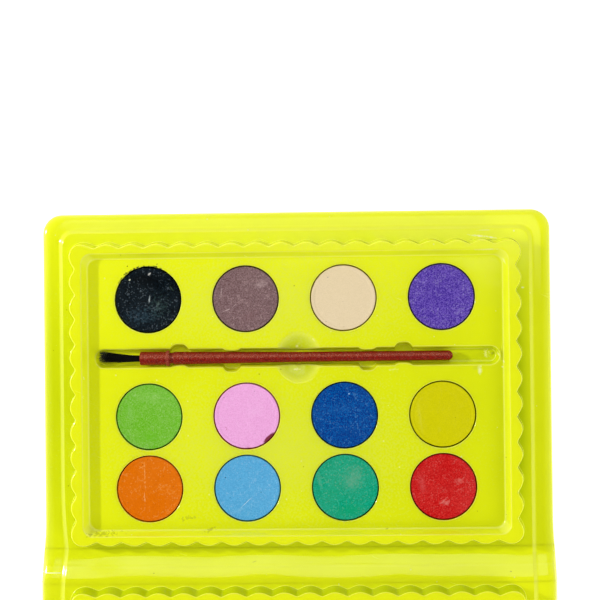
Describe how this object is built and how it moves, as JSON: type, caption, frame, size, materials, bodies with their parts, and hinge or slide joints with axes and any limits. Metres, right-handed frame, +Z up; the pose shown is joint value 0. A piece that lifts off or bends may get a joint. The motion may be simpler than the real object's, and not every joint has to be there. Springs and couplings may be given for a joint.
{
  "type": "children's art set",
  "caption": "Thin folding case, open flat: round paint tablets and a brush in one scalloped half, fibre pens and wax crayons in the other.",
  "frame": {"origin": "on the table, under the middle of the open case, halfway between its two folds", "axes": "+Z up; +Y from the pens' half towards the paint half, so the folds run along X; +X to the right in the picture"},
  "size_m": [0.2358, 0.3284, 0.0142],
  "materials": {
    "lime_plastic": "thin vacuum-formed sheet, glossy with fine scuffs",
    "brush_plastic": "moulded, semi-gloss, faint speckle",
    "bristle": "fine synthetic hair, satin",
    "pen_barrel": "extruded, satin white",
    "paint_black": "pressed dry paint, chalky and speckled",
    "paint_brown": "pressed dry paint, chalky and speckled",
    "paint_cream": "pressed dry paint, chalky and speckled",
    "paint_violet": "pressed dry paint, chalky and speckled",
    "paint_green": "pressed dry paint, chalky and speckled",
    "paint_pink": "pressed dry paint, chalky and speckled",
    "paint_blue": "pressed dry paint, chalky and speckled",
    "paint_yellow": "pressed dry paint, chalky and speckled",
    "paint_orange": "pressed dry paint, chalky and speckled",
    "paint_sky_blue": "pressed dry paint, chalky and speckled",
    "paint_emerald": "pressed dry paint, chalky and speckled",
    "paint_red": "pressed dry paint, chalky and speckled",
    "wax_black": "cast wax, soft sheen",
    "wax_brown": "cast wax, soft sheen",
    "wax_cream": "cast wax, soft sheen",
    "wax_violet": "cast wax, soft sheen",
    "wax_green": "cast wax, soft sheen",
    "wax_pink": "cast wax, soft sheen",
    "wax_blue": "cast wax, soft sheen",
    "wax_yellow": "cast wax, soft sheen",
    "wax_orange": "cast wax, soft sheen",
    "wax_sky_blue": "cast wax, soft sheen",
    "wax_emerald": "cast wax, soft sheen",
    "wax_red": "cast wax, soft sheen",
    "cap_black": "moulded, glossy",
    "cap_brown": "moulded, glossy",
    "cap_cream": "moulded, glossy",
    "cap_violet": "moulded, glossy",
    "cap_green": "moulded, glossy",
    "cap_pink": "moulded, glossy",
    "cap_blue": "moulded, glossy",
    "cap_yellow": "moulded, glossy",
    "cap_orange": "moulded, glossy",
    "cap_sky_blue": "moulded, glossy",
    "cap_emerald": "moulded, glossy",
    "cap_red": "moulded, glossy"
  },
  "bodies": {
    "tool_tray": {"tool_tray": "lime_plastic"},
    "spine": {"spine_panel": "lime_plastic"},
    "paint_tray": {"paint_tray": "lime_plastic", "tablet_black": "paint_black", "tablet_brown": "paint_brown", "tablet_cream": "paint_cream", "tablet_violet": "paint_violet", "tablet_green": "paint_green", "tablet_pink": "paint_pink", "tablet_blue": "paint_blue", "tablet_yellow": "paint_yellow", "tablet_orange": "paint_orange", "tablet_sky_blue": "paint_sky_blue", "tablet_emerald": "paint_emerald", "tablet_red": "paint_red"},
    "brush": {"brush_handle": "brush_plastic", "brush_bristles": "bristle"},
    "pen_black": {"pen_barrel_black": "pen_barrel", "pen_cap_black": "cap_black"},
    "pen_brown": {"pen_barrel_brown": "pen_barrel", "pen_cap_brown": "cap_brown"},
    "pen_cream": {"pen_barrel_cream": "pen_barrel", "pen_cap_cream": "cap_cream"},
    "pen_violet": {"pen_barrel_violet": "pen_barrel", "pen_cap_violet": "cap_violet"},
    "pen_green": {"pen_barrel_green": "pen_barrel", "pen_cap_green": "cap_green"},
    "pen_pink": {"pen_barrel_pink": "pen_barrel", "pen_cap_pink": "cap_pink"},
    "pen_blue": {"pen_barrel_blue": "pen_barrel", "pen_cap_blue": "cap_blue"},
    "pen_yellow": {"pen_barrel_yellow": "pen_barrel", "pen_cap_yellow": "cap_yellow"},
    "pen_orange": {"pen_barrel_orange": "pen_barrel", "pen_cap_orange": "cap_orange"},
    "pen_sky_blue": {"pen_barrel_sky_blue": "pen_barrel", "pen_cap_sky_blue": "cap_sky_blue"},
    "pen_emerald": {"pen_barrel_emerald": "pen_barrel", "pen_cap_emerald": "cap_emerald"},
    "pen_red": {"pen_barrel_red": "pen_barrel", "pen_cap_red": "cap_red"},
    "crayon_black": {"crayon_black": "wax_black"},
    "crayon_brown": {"crayon_brown": "wax_brown"},
    "crayon_cream": {"crayon_cream": "wax_cream"},
    "crayon_violet": {"crayon_violet": "wax_violet"},
    "crayon_green": {"crayon_green": "wax_green"},
    "crayon_pink": {"crayon_pink": "wax_pink"},
    "crayon_blue": {"crayon_blue": "wax_blue"},
    "crayon_yellow": {"crayon_yellow": "wax_yellow"},
    "crayon_orange": {"crayon_orange": "wax_orange"},
    "crayon_sky_blue": {"crayon_sky_blue": "wax_sky_blue"},
    "crayon_emerald": {"crayon_emerald": "wax_emerald"},
    "crayon_red": {"crayon_red": "wax_red"}
  },
  "joints": [
    {"name": "tool_fold", "type": "hinge", "parent": "tool_tray", "child": "spine", "pos_m": [0, -0.00806, 0.0062], "axis": [1, 0, 0], "range_deg": [0, 100.54]},
    {"name": "paint_fold", "type": "hinge", "parent": "spine", "child": "paint_tray", "pos_m": [0, 0.00806, 0.0032], "axis": [1, 0, 0], "range_deg": [0, 84]},
    {"name": "brush_lift", "type": "slide", "parent": "paint_tray", "child": "brush", "axis": [0, 0, -1], "range_m": [-0.02, 0]},
    {"name": "pen_black_lift", "type": "slide", "parent": "tool_tray", "child": "pen_black", "axis": [0, 0, -1], "range_m": [-0.022, 0]},
    {"name": "pen_brown_lift", "type": "slide", "parent": "tool_tray", "child": "pen_brown", "axis": [0, 0, -1], "range_m": [-0.022, 0]},
    {"name": "pen_cream_lift", "type": "slide", "parent": "tool_tray", "child": "pen_cream", "axis": [0, 0, -1], "range_m": [-0.022, 0]},
    {"name": "pen_violet_lift", "type": "slide", "parent": "tool_tray", "child": "pen_violet", "axis": [0, 0, -1], "range_m": [-0.022, 0]},
    {"name": "pen_green_lift", "type": "slide", "parent": "tool_tray", "child": "pen_green", "axis": [0, 0, -1], "range_m": [-0.022, 0]},
    {"name": "pen_pink_lift", "type": "slide", "parent": "tool_tray", "child": "pen_pink", "axis": [0, 0, -1], "range_m": [-0.022, 0]},
    {"name": "pen_blue_lift", "type": "slide", "parent": "tool_tray", "child": "pen_blue", "axis": [0, 0, -1], "range_m": [-0.022, 0]},
    {"name": "pen_yellow_lift", "type": "slide", "parent": "tool_tray", "child": "pen_yellow", "axis": [0, 0, -1], "range_m": [-0.022, 0]},
    {"name": "pen_orange_lift", "type": "slide", "parent": "tool_tray", "child": "pen_orange", "axis": [0, 0, -1], "range_m": [-0.022, 0]},
    {"name": "pen_sky_blue_lift", "type": "slide", "parent": "tool_tray", "child": "pen_sky_blue", "axis": [0, 0, -1], "range_m": [-0.022, 0]},
    {"name": "pen_emerald_lift", "type": "slide", "parent": "tool_tray", "child": "pen_emerald", "axis": [0, 0, -1], "range_m": [-0.022, 0]},
    {"name": "pen_red_lift", "type": "slide", "parent": "tool_tray", "child": "pen_red", "axis": [0, 0, -1], "range_m": [-0.022, 0]},
    {"name": "crayon_black_lift", "type": "slide", "parent": "tool_tray", "child": "crayon_black", "axis": [0, 0, -1], "range_m": [-0.022, 0]},
    {"name": "crayon_brown_lift", "type": "slide", "parent": "tool_tray", "child": "crayon_brown", "axis": [0, 0, -1], "range_m": [-0.022, 0]},
    {"name": "crayon_cream_lift", "type": "slide", "parent": "tool_tray", "child": "crayon_cream", "axis": [0, 0, -1], "range_m": [-0.022, 0]},
    {"name": "crayon_violet_lift", "type": "slide", "parent": "tool_tray", "child": "crayon_violet", "axis": [0, 0, -1], "range_m": [-0.022, 0]},
    {"name": "crayon_green_lift", "type": "slide", "parent": "tool_tray", "child": "crayon_green", "axis": [0, 0, -1], "range_m": [-0.022, 0]},
    {"name": "crayon_pink_lift", "type": "slide", "parent": "tool_tray", "child": "crayon_pink", "axis": [0, 0, -1], "range_m": [-0.022, 0]},
    {"name": "crayon_blue_lift", "type": "slide", "parent": "tool_tray", "child": "crayon_blue", "axis": [0, 0, -1], "range_m": [-0.022, 0]},
    {"name": "crayon_yellow_lift", "type": "slide", "parent": "tool_tray", "child": "crayon_yellow", "axis": [0, 0, -1], "range_m": [-0.022, 0]},
    {"name": "crayon_orange_lift", "type": "slide", "parent": "tool_tray", "child": "crayon_orange", "axis": [0, 0, -1], "range_m": [-0.022, 0]},
    {"name": "crayon_sky_blue_lift", "type": "slide", "parent": "tool_tray", "child": "crayon_sky_blue", "axis": [0, 0, -1], "range_m": [-0.022, 0]},
    {"name": "crayon_emerald_lift", "type": "slide", "parent": "tool_tray", "child": "crayon_emerald", "axis": [0, 0, -1], "range_m": [-0.022, 0]},
    {"name": "crayon_red_lift", "type": "slide", "parent": "tool_tray", "child": "crayon_red", "axis": [0, 0, -1], "range_m": [-0.022, 0]}
  ],
  "couplings": [
    {"joint": "paint_fold", "follows": "tool_fold", "ratio": 0.79033}
  ]
}
